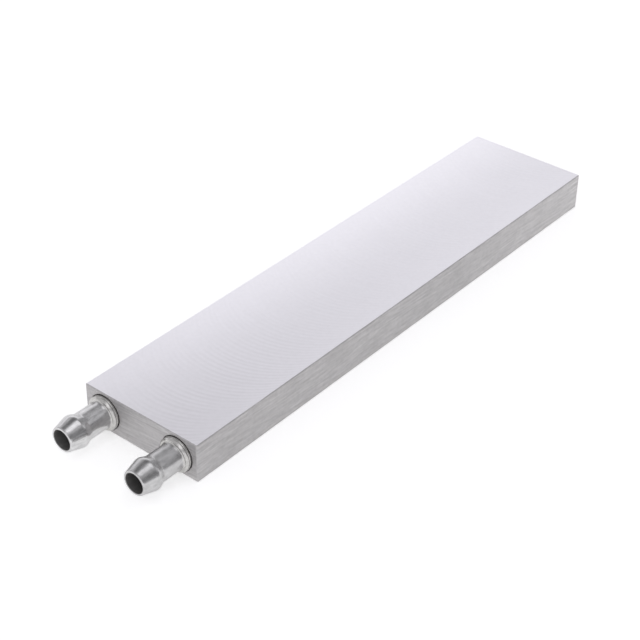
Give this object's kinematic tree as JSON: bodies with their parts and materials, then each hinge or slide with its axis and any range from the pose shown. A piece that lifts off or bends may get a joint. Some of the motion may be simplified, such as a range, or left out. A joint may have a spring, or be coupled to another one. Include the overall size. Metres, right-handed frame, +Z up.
{
  "type": "liquid cooling cold plate",
  "caption": "Flat rectangular aluminium cold plate with internal coolant channels and hose barbs side by side on one end face.",
  "frame": {"origin": "centre of the bar's underside, which is the face it rests on", "axes": "+Y along the bar's length, away from the hose barbs; +Z up through its thickness; +X across its width"},
  "size_m": [0.04, 0.1955, 0.012],
  "materials": {
    "milled_bar": "face-milled satin on the wide faces and brushed on the sides and ends",
    "end_plug": "brushed",
    "turned_barb": "bright turned"
  },
  "bodies": {
    "root": {"channel_bar": "milled_bar", "port_end_plug": "end_plug", "turn_end_plug": "end_plug", "inlet_barb": "turned_barb", "outlet_barb": "turned_barb"}
  },
  "joints": []
}
